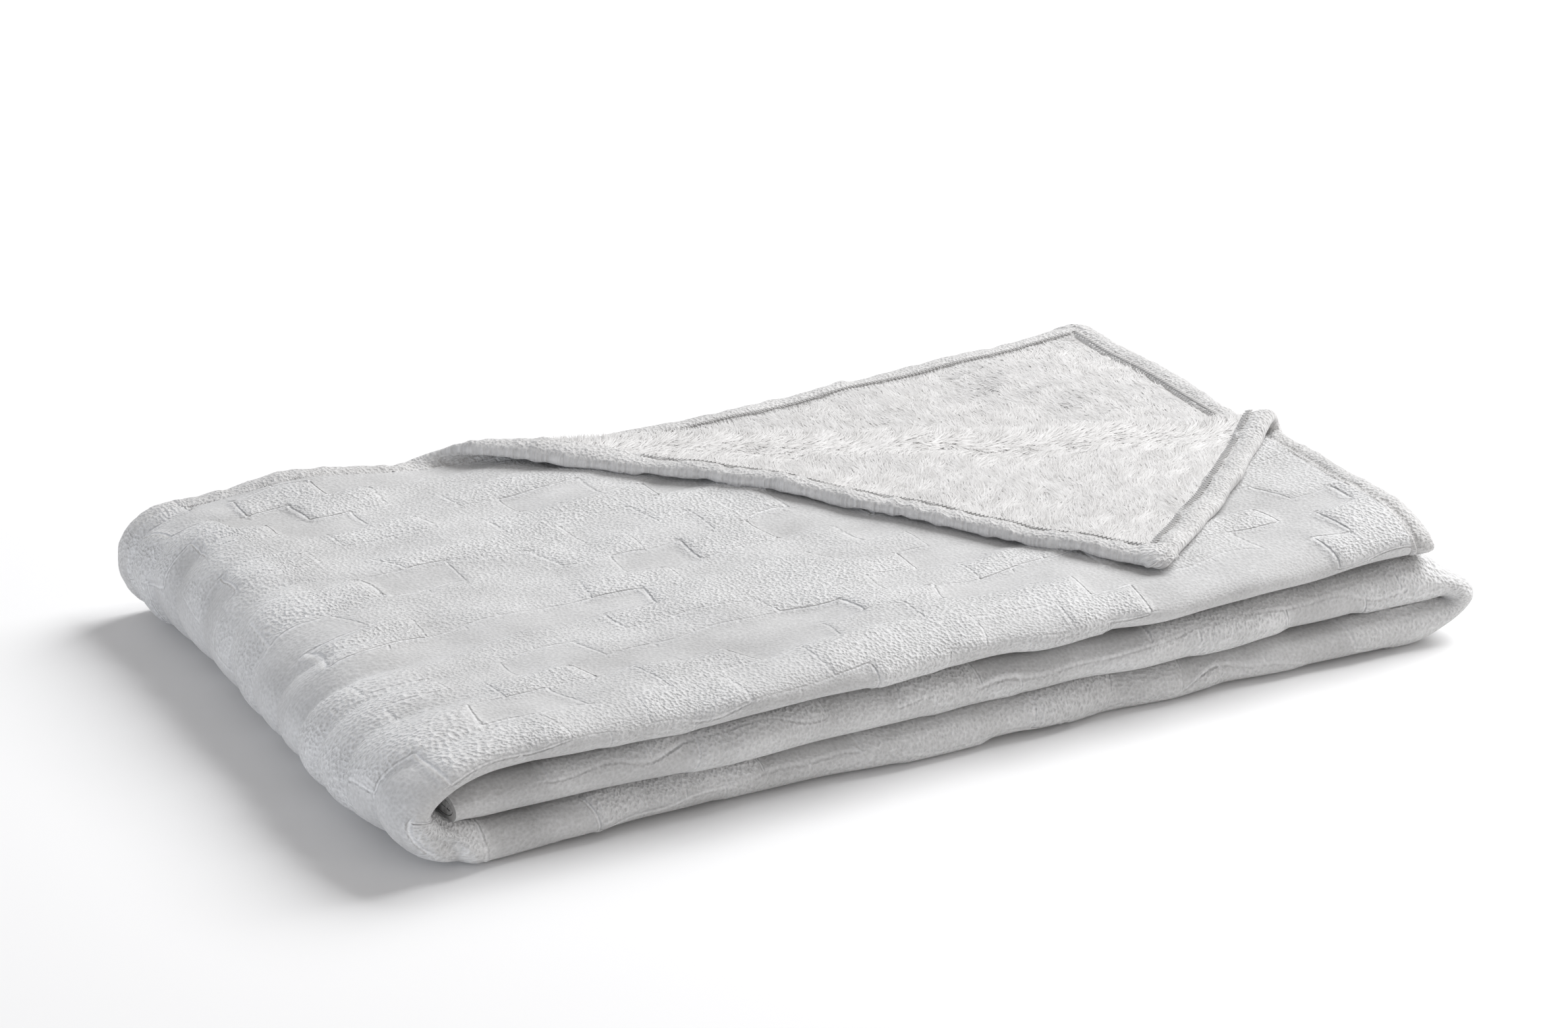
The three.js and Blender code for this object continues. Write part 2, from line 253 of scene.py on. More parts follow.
def section(u, v):
    """The folded section: y, the height above the strip's middle, and which way the face looks."""
    m = breaks(u)
    depth = fold_depth(u)
    inner_depth = depth - PITCH
    fold_y = m[0] - BACK_FOLD - CLOTH / 2

    def share(i):
        return np.clip((m[i] - v) / (m[i] - m[i + 1]), 0, 1) * math.pi

    one = np.ones_like(v)
    front, back, inner = share(1), share(3), share(5)
    stretches = [v >= m[1], v >= m[2], v >= m[3], v >= m[4], v >= m[5], v >= m[6]]
    y = np.select(
        stretches,
        [
            v,
            m[1] - depth * np.sin(front),
            m[1] + m[2] - v,
            fold_y + BACK_FOLD * np.sin(back),
            fold_y - (m[4] - v),
            m[1] - inner_depth * np.sin(inner),
        ],
        m[1] + m[6] - v,
    )
    w = np.select(
        stretches,
        [
            OUTER * one,
            OUTER * np.cos(front),
            -OUTER * one,
            -PITCH - INNER * np.cos(back),
            -INNER * one,
            -INNER * np.cos(inner),
        ],
        INNER * one,
    )
    ny = np.select(
        stretches,
        [
            0 * one,
            -np.sin(front) * OUTER,
            0 * one,
            np.sin(back) * INNER,
            0 * one,
            np.sin(inner) * INNER,
        ],
        0 * one,
    )
    nw = np.select(
        stretches,
        [
            one,
            np.cos(front) * depth,
            -one,
            -np.cos(back) * BACK_FOLD,
            one,
            np.cos(inner) * inner_depth,
        ],
        -one,
    )
    size = np.hypot(ny, nw)
    return y, w, ny / size, nw / size


def settle(x, y, z):
    """The soft unevenness of a folded throw, the same for every ply at one place."""
    height = np.clip(z / TOP, 0, 1.2)
    lift = 1.3 * swell(x, y, 260, 21) + 0.9 * swell(x, y, 110, 22) + 0.35 * swell(x, y, 46, 24)
    corner = -6 * hump(x, LEFT + 30, 60) * hump(y, 230, 60)
    end = 4 * hump(x, SIDE_FRONT, 55) * hump(y, -70, 120)
    z = z + height * (lift + corner + end)
    top_ply = smooth((z - TOP + 9) / 6)
    z = z + 6.4 * top_ply * hump(x, -198, 44) * smooth((y - 130) / 60)
    tip = smooth((x - 288) / 46) * smooth((FRONT + 120 - y) / 100) * smooth((2 * STRIP + 4 - z) / 4)
    z = z + 0.5 * tip * (STRIP + 4 - z)
    slant = (x - WRAP_START + 31.5) * 0.9 + (z - STRIP) * 0.44
    at_mouth = smooth((FRONT + 30 - y) / 20) * smooth((STRIP + 3 - z) / 5)
    beside = 3 * smooth(-slant / 5) * hump(x, WRAP_START - 35, 18)
    y = y + at_mouth * (6 * hump(slant, 0, 3.5) + beside)
    in_wrap = np.clip((WRAP_START + 12 - x) / (WRAP_START + 12 - LEFT), 0, 1)
    x = x + in_wrap * (-14 + 36 * smooth((y - FRONT - 30) / 370))
    y = y + 1.5 * height * swell(x, 0 * x, 300, 23)
    return x, y, np.maximum(z, 0.15)


def laid(u, v, h):
    """The place of a point of the folded cloth that stands h out on its face side."""
    x, z, nx, nz = path(u)
    y, w, my, mw = section(u, v)
    thinned = 1 - 0.24 * smooth((MIDDLE_END + 20 - u) / 20)
    out = (w + h * mw) * thinned
    return np.stack(settle(x + out * nx, y + h * my, z + out * nz), axis=-1)


# ---- the turned corner ----------------------------------------------------------------------

AXIS = [-value for value in turn["axis"][:2]]
AWAY = [-AXIS[1], AXIS[0]]
CREASE_FROM = [-125 - 10 * AWAY[0], 186.5 - 10 * AWAY[1]]
CREASE_RUN = 494
CORNER_BACK_Y = 189.0
REST_HEIGHT = PITCH + 0.4


def side_line(y):
    """The top strip's side edge."""
    share = (y - FRONT) / (LOWER_BACK - FRONT)
    bow = 7 * hump(y, 85, 70)
    return SIDE_FRONT + (SIDE_BACK - SIDE_FRONT) * share + bow + 1.5 * swell(y, 0 * y, 140, 14)


def crease_x(y):
    """Where the crease crosses a line along the strip."""
    return CREASE_FROM[0] + (y - CREASE_FROM[1]) * AXIS[0] / AXIS[1]


CORNER_SIDE_Y = CREASE_FROM[1] + CREASE_RUN * AXIS[1]


def turned(x, y, h):
    """The place of a point of the top ply beyond the crease, once the corner is turned over."""
    from_x, from_y = x - CREASE_FROM[0], y - CREASE_FROM[1]
    along = from_x * AXIS[0] + from_y * AXIS[1]
    past = from_x * AWAY[0] + from_y * AWAY[1]
    radius = 6.9 - 1.6 * hump(along, 0, 80) - 1.1 * hump(along, CREASE_RUN, 60)
    angle = np.clip(past / radius, 0, math.pi)
    beyond = np.maximum(past - math.pi * radius, 0)
    over = radius * np.sin(angle) - beyond + np.minimum(past, 0)
    settled = (2 * radius - REST_HEIGHT) * smooth((beyond + 6) / 36)
    rise = radius * (1 - np.cos(angle)) - settled
    edge = 1.2 * swell(x, y, 60, 31) * smooth(beyond / 30)
    over = over - h * np.sin(angle)
    rise = rise + h * np.cos(angle) + np.maximum(edge, 0)
    px = CREASE_FROM[0] + along * AXIS[0] + over * AWAY[0]
    py = CREASE_FROM[1] + along * AXIS[1] + over * AWAY[1]
    return np.stack(settle(px, py, TOP_Z + OUTER + rise), axis=-1)


# ---- meshes ---------------------------------------------------------------------------------


def link(name, mesh, finishes):
    piece = bpy.data.objects.new(name, mesh)
    bpy.context.scene.collection.objects.link(piece)
    for finish in finishes:
        mesh.materials.append(finish)
    return piece


def set_cloth_map(mesh, u, v, name="cloth"):
    """A UV map in metres of cloth."""
    layer = mesh.uv_layers.new(name=name)
    corners = np.empty(len(mesh.loops), int)
    mesh.loops.foreach_get("vertex_index", corners)
    layer.data.foreach_set("uv", np.stack([u[corners], v[corners]], axis=-1).ravel())


def set_number(mesh, name, values):
    layer = mesh.attributes.new(name, "FLOAT", "POINT")
    layer.data.foreach_set("value", np.asarray(values, np.float32))


def turn_outwards(mesh):
    shape = bmesh.new()
    shape.from_mesh(mesh)
    bmesh.ops.recalc_face_normals(shape, faces=shape.faces)
    shape.to_mesh(mesh)
    shape.free()


def cloth_sheet(name, along, across, place, relief, finishes):
    """A closed sheet of cloth over a grid. `place` turns grid coordinates into a place and a
    cloth coordinate, and the face gets the embossing at the given strength."""
    shape = bmesh.new()
    columns, rows = len(along) - 1, len(across) - 1
    bmesh.ops.create_grid(shape, x_segments=columns, y_segments=rows, size=1)
    bmesh.ops.solidify(shape, geom=shape.faces[:], thickness=-1)
    mesh = bpy.data.meshes.new(name)
    shape.to_mesh(mesh)
    shape.free()
    flat = np.empty(len(mesh.vertices) * 3)
    mesh.vertices.foreach_get("co", flat)
    flat = flat.reshape(-1, 3)
    a = along[np.rint((flat[:, 0] + 1) / 2 * columns).astype(int)]
    b = across[np.rint((flat[:, 1] + 1) / 2 * rows).astype(int)]
    on_face = flat[:, 2] < 0.5
    u, v, put = place(a, b)
    height, step = emboss(u, v)
    relief = relief * (height - 0.3 + pulled(u, v))
    h = np.where(on_face, CLOTH / 2 + relief, -CLOTH / 2)
    mesh.vertices.foreach_set("co", (put(h) * MM).ravel())
    set_cloth_map(mesh, u * MM, v * MM)
    pattern = pattern_place(u, v)
    set_cloth_map(mesh, pattern[0] * MM, pattern[1] * MM, "pattern")
    set_number(mesh, "block", height)
    set_number(mesh, "step", step)
    set_sides(mesh, on_face)
    turn_outwards(mesh)
    mesh.set_sharp_from_angle(angle=math.radians(60))
    flat_size(along, across, place)
    return link(name, mesh, finishes)


def flat_size(along, across, place):
    """A sheet's width, length and area when it is laid flat, in metres."""
    a, b = np.meshgrid(along, across)
    u, v, _ = place(a.ravel(), b.ravel())
    u, v = (n.reshape(a.shape) * MM for n in (u, v))
    first = (u[1:, 1:] - u[:-1, :-1], v[1:, 1:] - v[:-1, :-1])
    second = (u[1:, :-1] - u[:-1, 1:], v[1:, :-1] - v[:-1, 1:])
    area = np.abs(first[0] * second[1] - first[1] * second[0]).sum() / 2
    return float(np.ptp(u)), float(np.ptp(v)), float(area)


def set_sides(mesh, on_face):
    """The face cloth on the faces and rims, and the reverse cloth on the other side."""
    starts = np.empty(len(mesh.polygons), int)
    mesh.polygons.foreach_get("loop_start", starts)
    corners = np.empty(len(mesh.loops), int)
    mesh.loops.foreach_get("vertex_index", corners)
    behind = ~(
        on_face[corners[starts]] | on_face[corners[starts + 1]] | on_face[corners[starts + 2]]
    )
    mesh.polygons.foreach_set("material_index", behind.astype(np.int32))
    mesh.polygons.foreach_set("use_smooth", np.ones(len(starts), bool))


def spread(*stops):
    """Grid lines through (place, step) stops, each step holding until the next place."""
    lines = []
    for (start, step), (end, _) in zip(stops, stops[1:]):
        count = max(1, round(abs(end - start) / step))
        lines.append(np.linspace(start, end, count, endpoint=False))
    lines.append([stops[-1][0]])
    return np.concatenate(lines)


# ---- repeated small shapes ------------------------------------------------------------------


def copies(name, shape, count):
    """A mesh of `count` copies of a small closed shape, and the corners of each copy."""
    mesh = bpy.data.meshes.new(name)
    shape.to_mesh(mesh)
    shape.free()
    shape = bmesh.new()
    shape.from_mesh(mesh)
    size = [len(shape.verts), len(shape.edges), len(shape.faces)]
    made = 1
    while made < count:
        more = min(made, count - made)
        lists = (shape.verts, shape.edges, shape.faces)
        geometry = [x for kind, n in zip(lists, size) for x in list(kind)[: n * more]]
        bmesh.ops.duplicate(shape, geom=geometry)
        made += more
    shape.to_mesh(mesh)
    shape.free()
    corners = np.empty(len(mesh.vertices) * 3)
    mesh.vertices.foreach_get("co", corners)
    return mesh, corners.reshape(count, -1, 3)


def pile(name, roots, tips, sides, up, cloth, finish):
    """Tapered tufts of pile from roots to tips, shaded like the cloth that they stand on."""
    count = len(roots)
    shape = bmesh.new()
    bmesh.ops.create_cone(
        shape, cap_ends=True, cap_tris=False, segments=3, radius1=1, radius2=0, depth=1
    )
    bmesh.ops.remove_doubles(shape, verts=shape.verts, dist=0.001)
    mesh, corners = copies(name, shape, count)
    lean = tips - roots
    first = np.cross(lean, up)
    first = first / np.linalg.norm(first, axis=1, keepdims=True) * sides[:, None]
    second = np.cross(first, lean)
    second = second / np.linalg.norm(second, axis=1, keepdims=True) * sides[:, None]
    rise = corners[:, :, 2:] + 0.5
    points = (
        roots[:, None, :]
        + rise * lean[:, None, :]
        + corners[:, :, 0:1] * first[:, None, :]
        + corners[:, :, 1:2] * second[:, None, :]
    )
    mesh.vertices.foreach_set("co", (points.reshape(-1, 3) * MM).ravel())
    each = corners.shape[1]
    set_cloth_map(mesh, np.repeat(cloth[:, 0], each) * MM, np.repeat(cloth[:, 1], each) * MM)
    # how far up its strand each corner stands; the tuft finish uses it to darken the root end as
    # painted shade
    set_number(mesh, "tip", rise.ravel())
    set_number(mesh, "shade", np.repeat(scatter(np.arange(count), 0, 3), each))
    mesh.polygons.foreach_set("use_smooth", np.ones(len(mesh.polygons), bool))
    turn_outwards(mesh)
    bend = up + 0.3 * lean / np.linalg.norm(lean, axis=1, keepdims=True)
    bend = bend / np.linalg.norm(bend, axis=1, keepdims=True)
    mesh.normals_split_custom_set_from_vertices(np.repeat(bend, each, axis=0).tolist())
    return link(name, mesh, [finish])


def grow(name, seed, count, sample, put, side, length, thickness, lay, finish, ruffle=None):
    """Pile over a stretch of cloth. `sample` picks the places and `put` lays them out; `side`
    is 1 for the face and -1 for the reverse. `lay` is the way that the pile is brushed, and
    `ruffle` is how far round it is pushed at a place."""
    rng = np.random.default_rng(seed)
    u, v = sample(rng, count)
    skin = side * CLOTH / 2
    roots = put(u, v, skin - side * 0.6)
    over = put(u, v, skin + side * 1.0)
    up = over - put(u, v, skin)
    up = up / np.linalg.norm(up, axis=1, keepdims=True)
    way = 0.5 * swell(u, v, 70, seed) + 0.4 * swell(u, v, 20, seed + 1) + rng.normal(0, 0.3, len(u))
    brushed = np.arctan2(lay[1], lay[0]) + way + (ruffle(u, v) if ruffle else 0)
    step = 0.5
    ahead = put(u + step * np.cos(brushed), v + step * np.sin(brushed), skin) - put(u, v, skin)
    ahead = ahead / np.maximum(np.linalg.norm(ahead, axis=1, keepdims=True), 1e-6)
    reach_out = length * rng.uniform(0.7, 1.3, len(u))
    stand = 0.24 + 0.05 * swell(u, v, 26, seed + 2) + rng.normal(0, 0.06, len(u))
    stand = np.clip(stand, 0.08, 0.5)[:, None]
    tips = roots + (ahead * (1 - stand) + up * stand) * reach_out[:, None]
    sides = thickness * rng.uniform(0.7, 1.3, len(u))
    return pile(name, roots, tips, sides, up, np.stack([u, v], axis=-1), finish)


# ---- hems -----------------------------------------------------------------------------------

# The hem's section, from its inner edge round by the face, the rolled edge and the reverse: how
# far in from the edge, and how far out on the face side. The two needle rows sink into both
# sides, with a ridge between them.
HEM_SECTION = np.array(
    [
        [19.5, 0.2], [17.8, 1.0], [16.4, 1.2], [15.4, 2.3], [14.2, 2.9], [13.0, 2.3], [12.1, 1.3],
        [10.8, 2.7], [8.2, 3.4], [5.0, 3.4], [2.4, 2.6], [0.6, 1.0], [0.0, -1.1], [0.6, -3.2],
        [2.2, -4.7], [5.0, -5.5], [8.2, -5.7], [10.6, -5.3], [12.0, -4.4], [14.2, -4.3],
        [16.2, -4.2], [17.2, -3.2], [18.8, -1.4],
    ]
)  # fmt: skip


def hem(name, stations, place, bulk, finish, seed=41, joined=(0, 0)):
    """A hem swept along stations; `place` lays out (station, inset, height). It thins towards
    each end, except one that is `joined` to the next hem."""
    shape = bmesh.new()
    ring = len(HEM_SECTION)
    rounds = len(stations)
    bmesh.ops.create_circle(shape, segments=ring, radius=1, cap_ends=False)
    edges = shape.edges[:]
    ends = [edges]
    for _ in range(rounds - 1):
        made = bmesh.ops.extrude_edge_only(shape, edges=edges)["geom"]
        edges = [x for x in made if isinstance(x, bmesh.types.BMEdge)]
        verts = [x for x in made if isinstance(x, bmesh.types.BMVert)]
        bmesh.ops.translate(shape, verts=verts, vec=(0, 0, 1))
        new_verts = set(verts)
        edges = [x for x in edges if x.verts[0] in new_verts and x.verts[1] in new_verts]
    ends.append(edges)
    for loop in ends:
        bmesh.ops.holes_fill(shape, edges=loop, sides=ring)
    mesh = bpy.data.meshes.new(name)
    shape.to_mesh(mesh)
    shape.free()
    flat = np.empty(len(mesh.vertices) * 3)
    mesh.vertices.foreach_get("co", flat)
    flat = flat.reshape(-1, 3)
    turns = np.arctan2(flat[:, 1], flat[:, 0]) / (2 * math.pi) * ring
    spot = np.rint(turns).astype(int) % ring
    level = np.rint(flat[:, 2]).astype(int)
    e = stations[level]
    inset, height = HEM_SECTION[spot].T
    from_end = np.minimum(level + 3 * joined[0], rounds - 1 - level + 3 * joined[1])
    taper = np.array([0.45, 0.8, 0.95, 1])[np.minimum(from_end, 3)]
    gather = 1 + 0.09 * swell(e, 0 * e, 28, seed) + 0.12 * swell(e, inset * 0.6, 11, seed + 1)
    height = -1.2 + (height + 1.2) * bulk * gather * taper
    inset = 10.5 + (inset - 10.5) * (0.9 + 0.1 * taper) + 0.5 * swell(e, 0 * e, 40, seed + 2)
    mesh.vertices.foreach_set("co", (place(e, inset, height) * MM).ravel())
    set_cloth_map(mesh, e * MM, inset * MM)
    set_number(mesh, "block", 0.6 + 0 * e)
    mesh.polygons.foreach_set("use_smooth", np.ones(len(mesh.polygons), bool))
    turn_outwards(mesh)
    return link(name, mesh, [finish])


def stitches(name, stations, place, height, finish):
    """The cover stitch on one side of a hem: threads laddered between the two needle rows."""
    shape = bmesh.new()
    bmesh.ops.create_uvsphere(shape, u_segments=5, v_segments=4, radius=1)
    mesh, corners = copies(name, shape, 2 * len(stations))
    step = stations[1] - stations[0]
    starts = np.concatenate([stations, stations + step / 2])
    ends = np.concatenate([stations + step / 2, stations + step])
    near, far = 12.0, 16.4
    inset_from = np.repeat([near, far], len(stations))
    inset_to = np.repeat([far, near], len(stations))
    head = place(starts, inset_from, height + 0 * starts)
    tail = place(ends, inset_to, height + 0 * starts)
    lifted = place(starts, inset_from, height + np.sign(height) + 0 * starts)
    up = lifted - head
    up = up / np.linalg.norm(up, axis=1, keepdims=True)
    half = (tail - head) / 2
    side = np.cross(half, up)
    side = side / np.linalg.norm(side, axis=1, keepdims=True)
    points = (
        ((head + tail) / 2)[:, None, :]
        + corners[:, :, 0:1] * half[:, None, :] * 1.1
        + corners[:, :, 1:2] * side[:, None, :] * 0.42
        + corners[:, :, 2:3] * up[:, None, :] * 0.42
    )
    mesh.vertices.foreach_set("co", (points.reshape(-1, 3) * MM).ravel())
    each = corners.shape[1]
    set_cloth_map(mesh, np.repeat(starts, each) * MM, np.repeat(inset_from, each) * MM)
    mesh.polygons.foreach_set("use_smooth", np.ones(len(mesh.polygons), bool))
    turn_outwards(mesh)
    return link(name, mesh, [finish])


# ---- finishes -------------------------------------------------------------------------------


class Wire:
    """A socket of a material's nodes, which can be added to, multiplied and so on."""

    def __init__(self, tree, socket=None):
        self.tree = tree
        self.socket = socket

    def node(self, kind, settings=None, sockets=None, out=0):
        """Any other node: its settings, and the values or links of its sockets."""
        made = self.tree.nodes.new(kind)
        for name, value in (settings or {}).items():
            if name == "stops":
                for stop, (position, colour) in zip(made.color_ramp.elements, value):
                    stop.position = position
                    stop.color = colour
            else:
                setattr(made, name, value)
        for key, value in (sockets or {}).items():
            if isinstance(value, Wire):
                self.tree.links.new(value.socket, made.inputs[key])
            else:
                made.inputs[key].default_value = value
        return Wire(self.tree, made.outputs[out])

    def math(self, operation, first, second):
        return self.node("ShaderNodeMath", {"operation": operation}, {0: first, 1: second})

    def __add__(self, other):
        return self.math("ADD", self, other)

    __radd__ = __add__

    def __sub__(self, other):
        return self.math("SUBTRACT", self, other)

    def __rsub__(self, other):
        return self.math("SUBTRACT", other, self)

    def __mul__(self, other):
        return self.math("MULTIPLY", self, other)

    __rmul__ = __mul__


def new_finish(name):
    material = bpy.data.materials.new(name)
    material.use_nodes = True
    tree = material.node_tree
    return material, Wire(tree), tree.nodes["Principled BSDF"]


def noise(wire, place, scale, detail=2.0, stretch=None):
    """Noise from 0 to 1 over the cloth, with about `scale` swells in a metre."""
    if stretch:
        place = wire.node("ShaderNodeMapping", {}, {"Vector": place, "Scale": stretch})
    sockets = {"Vector": place, "Scale": scale, "Detail": detail}
    return wire.node("ShaderNodeTexNoise", {"noise_dimensions": "2D"}, sockets)


def blended(wire, factor, first, second):
    """A colour between two."""
    return wire.node("ShaderNodeMix", {"data_type": "RGBA"}, {0: factor, 6: first, 7: second}, 2)


def colour(level, warmth=0.0):
    return (level * (1 + warmth), level, level * (1 - warmth), 1)


def embossing(wire):
    """The pressed lines round the blocks, where the pattern steps; the face finish sinks them and
    also paints them paler, a painted highlight.
    """
    place = wire.node("ShaderNodeUVMap", {"uv_map": "pattern"})
    sockets = {
        "Vector": place,
        "Scale": 1.0,
        "Mortar Size": 0.0016,
        "Mortar Smooth": 0.9,
        "Brick Width": BLOCK * MM,
        "Row Height": ROW * MM,
    }
    lines = wire.node("ShaderNodeTexBrick", {"offset": 0.5}, sockets, 1)
    step = wire.node("ShaderNodeAttribute", {"attribute_name": "step"}, {}, 2)
    return lines * step


def face_finish(name, light, dark, curl, embossed):
    """Short grey plush: fine curls, rougher on the embossed blocks, brushed light and dark, and
    where embossed a painted highlight along the pressed lines.
    """
    material, wire, shader = new_finish(name)
    place = wire.node("ShaderNodeUVMap", {"uv_map": "cloth"})
    block = wire.node("ShaderNodeAttribute", {"attribute_name": "block"}, {}, 2)
    fine = noise(wire, place, 520, 2.0)
    curls = wire.node(
        "ShaderNodeTexVoronoi", {"voronoi_dimensions": "2D"}, {"Vector": place, "Scale": 480}
    )
    brushed = noise(wire, place, 34, 3.0)
    broad = noise(wire, place, 9, 2.0)
    rough = 0.25 + 0.75 * block
    height = (fine + curls) * rough
    tone = brushed * 0.5 + broad * 0.35 + (fine + curls * 0.5) * (0.45 + 0.45 * block) - 0.32
    if embossed:
        lines = embossing(wire)
        height = height - lines * 1.2
        # painted highlight: the pressed lines are painted paler along the steps of the relief
        tone = tone + lines * 0.4
    base = blended(wire, tone, dark, light)
    wire.tree.links.new(base.socket, shader.inputs["Base Color"])
    bump = wire.node(
        "ShaderNodeBump", {}, {"Height": height, "Strength": curl, "Distance": 0.0011}
    )
    wire.tree.links.new(bump.socket, shader.inputs["Normal"])
    shader.inputs["Roughness"].default_value = 0.92
    shader.inputs["Specular IOR Level"].default_value = 0.25
    shader.inputs["Sheen Weight"].default_value = 0.35
    shader.inputs["Sheen Roughness"].default_value = 0.45
    return material


def reverse_finish():
    """Long white pile: soft strands brushed across the cloth."""
    material, wire, shader = new_finish("reverse_pile")
    place = wire.node("ShaderNodeUVMap", {"uv_map": "cloth"})
    strands = noise(wire, place, 420, 3.0, (1.0, 0.3, 1.0))
    locks = noise(wire, place, 90, 2.0, (1.0, 0.45, 1.0))
    tone = strands * 0.6 + locks * 0.6 - 0.1
    base = blended(wire, tone, colour(0.50, 0.02), colour(0.78, 0.012))
    wire.tree.links.new(base.socket, shader.inputs["Base Color"])
    bump = wire.node(
        "ShaderNodeBump", {}, {"Height": strands + locks, "Strength": 0.7, "Distance": 0.002}
    )
    wire.tree.links.new(bump.socket, shader.inputs["Normal"])
    shader.inputs["Roughness"].default_value = 0.95
    shader.inputs["Specular IOR Level"].default_value = 0.2
    shader.inputs["Sheen Weight"].default_value = 0.3
    return material


def tuft_finish(name, root, tip):
    """Strands of pile, darker at the root, which is painted shade deep in the pile."""
    material, wire, shader = new_finish(name)
    place = wire.node("ShaderNodeUVMap", {"uv_map": "cloth"})
    rise = wire.node("ShaderNodeAttribute", {"attribute_name": "tip"}, {}, 2)
    shade = wire.node("ShaderNodeAttribute", {"attribute_name": "shade"}, {}, 2)
    locks = noise(wire, place, 120, 2.0, (1.0, 0.5, 1.0))
    # painted shade: the tone rises from root to tip, so each strand is darker down where the pile
    # shades it
    tone = rise * 0.5 + shade * 0.5 + locks * 0.8 - 0.4
    base = blended(wire, tone, root, tip)
    wire.tree.links.new(base.socket, shader.inputs["Base Color"])
    shader.inputs["Roughness"].default_value = 0.95
    shader.inputs["Specular IOR Level"].default_value = 0.15
    shader.inputs["Sheen Weight"].default_value = 0.3
    return material


def thread_finish():
    """Twisted sewing thread."""
    material, wire, shader = new_finish("thread")
    place = wire.node("ShaderNodeUVMap", {"uv_map": "cloth"})
    twist = noise(wire, place, 900, 1.0)
    base = blended(wire, twist, colour(0.48, 0.01), colour(0.62, 0.01))
    wire.tree.links.new(base.socket, shader.inputs["Base Color"])
    shader.inputs["Roughness"].default_value = 0.75
    return material


FACE = face_finish("face_plush", colour(0.75, 0.0), colour(0.38, 0.006), 0.9, True)
HEM_CLOTH = face_finish("hem_plush", colour(0.74, 0.008), colour(0.38, 0.012), 1.0, False)
REVERSE = reverse_finish()
# the root colour is painted shade deep in the pile
WHITE_TUFTS = tuft_finish("white_tufts", colour(0.50, 0.02), colour(0.86, 0.01))
THREAD = thread_finish()


# ---- how the pieces ride --------------------------------------------------------------------


def over_the_wrap(piece):
    """Bakes the piece's transform into its mesh, where the wrap already lies."""
    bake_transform(piece)


def over_the_crease(piece):
    """Bakes the piece's transform into its mesh; a line up through the crease's foot is worked out
    but not used.
    """
    lean = math.radians(20)
    way = (-AWAY[0] * math.sin(lean), -AWAY[1] * math.sin(lean), math.cos(lean))
    foot = (CREASE_FROM[0], CREASE_FROM[1], TOP_Z + OUTER)
    start = [(a + b * 0.8) * MM for a, b in zip(foot, way)]
    end = [(a + b * 6.4) * MM for a, b in zip(foot, way)]
    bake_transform(piece)


def on_top(piece):
    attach(piece, "top_strip")


def on_base(piece):
    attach(piece, "folded_base")


# ---- the sheets -----------------------------------------------------------------------------

TOP_RUN = SIDE_BACK - WRAP_START


def strip_place(u, t):
    """Lays out a grid of run (u) by arms and bends (t)."""
    v = reach(t, u)
    return u, v, lambda h: laid(u, v, h)


def top_place(ends_at):
    """Lays out a grid of share (0 at the wrap, 1 at the far end) by arms and bends."""

    def place(share, t):
        u = share * TOP_RUN
        for _ in range(3):
            v = reach(t, u)
            y = section(u, v)[0]
            u = share * (ends_at(y) - WRAP_START)
        v = reach(t, u)
        return u, v, lambda h: laid(u, v, h)

    return place


def panel_end(y):
    """The top ply stops at the crease, or at its side hem."""
    return np.minimum(crease_x(y) + 1, side_line(y) - HEM)


def lining_end(y):
    return side_line(y) - HEM


def corner_place(a, b):
    """The turned corner: rows run from the crease to the side hem."""
    y = CORNER_SIDE_Y + 10 + b * (160 - CORNER_SIDE_Y)
    for _ in range(3):
        start = crease_x(y)
        x = start + a * (side_line(y) - HEM - start)
        y = CORNER_SIDE_Y + 10 + b * (back_line(x - WRAP_START) - HEM - CORNER_SIDE_Y - 10)
    return x - WRAP_START, y, lambda h: turned(x, y, h)


BACK_IN = 0.044
BACK_LAST = 7 - BACK_IN

cloth = [FACE, REVERSE]

top_ply = cloth_sheet(
    "top_ply",
    spread((0, 1 / 236), (1, 0)),
    spread((BACK_IN, 1 / 162), (1, 1 / 24), (2, 1 / 25), (2.1, 0)),
    top_place(panel_end),
    RELIEF,
    cloth,
)
on_top(top_ply)

top_lining = cloth_sheet(
    "top_lining",
    spread((0, 1 / 90), (1, 0)),
    spread((2.1, 1 / 20), (3, 1 / 8), (4, 1 / 20), (5, 1 / 10), (6, 1 / 60), (BACK_LAST, 0)),
    top_place(lining_end),
    0.3,
    cloth,
)
on_top(top_lining)

turned_corner = cloth_sheet(
    "turned_corner",
    spread((0, 1 / 150), (1, 0)),
    spread((0, 1 / 75), (1, 0)),
    corner_place,
    0.0,
    cloth,
)
over_the_crease(turned_corner)

wrap_cover = cloth_sheet(
    "wrap_cover",
    spread((-WRAP_RUN, 2.2), (0, 0)),
    spread((BACK_IN, 1 / 150), (1, 1 / 24), (2, 1 / 25), (2.1, 0)),
    strip_place,
    RELIEF,
    cloth,
)
over_the_wrap(wrap_cover)

wrap_lining = cloth_sheet(
    "wrap_lining",
    spread((-WRAP_RUN, 5), (0, 0)),
    spread((2.1, 1 / 25), (3, 1 / 8), (4, 1 / 25), (5, 1 / 10), (6, 1 / 25), (BACK_LAST, 0)),
    strip_place,
    0.0,
    cloth,
)
over_the_wrap(wrap_lining)

LOWER_RUN = [(MIDDLE_END, 2.5), (MIDDLE_START, 2.2), (BASE_END, 2.5), (-WRAP_RUN, 0)]
COARSE_RUN = [(MIDDLE_END, 9), (MIDDLE_START, 2.2), (BASE_END, 9), (-WRAP_RUN, 0)]

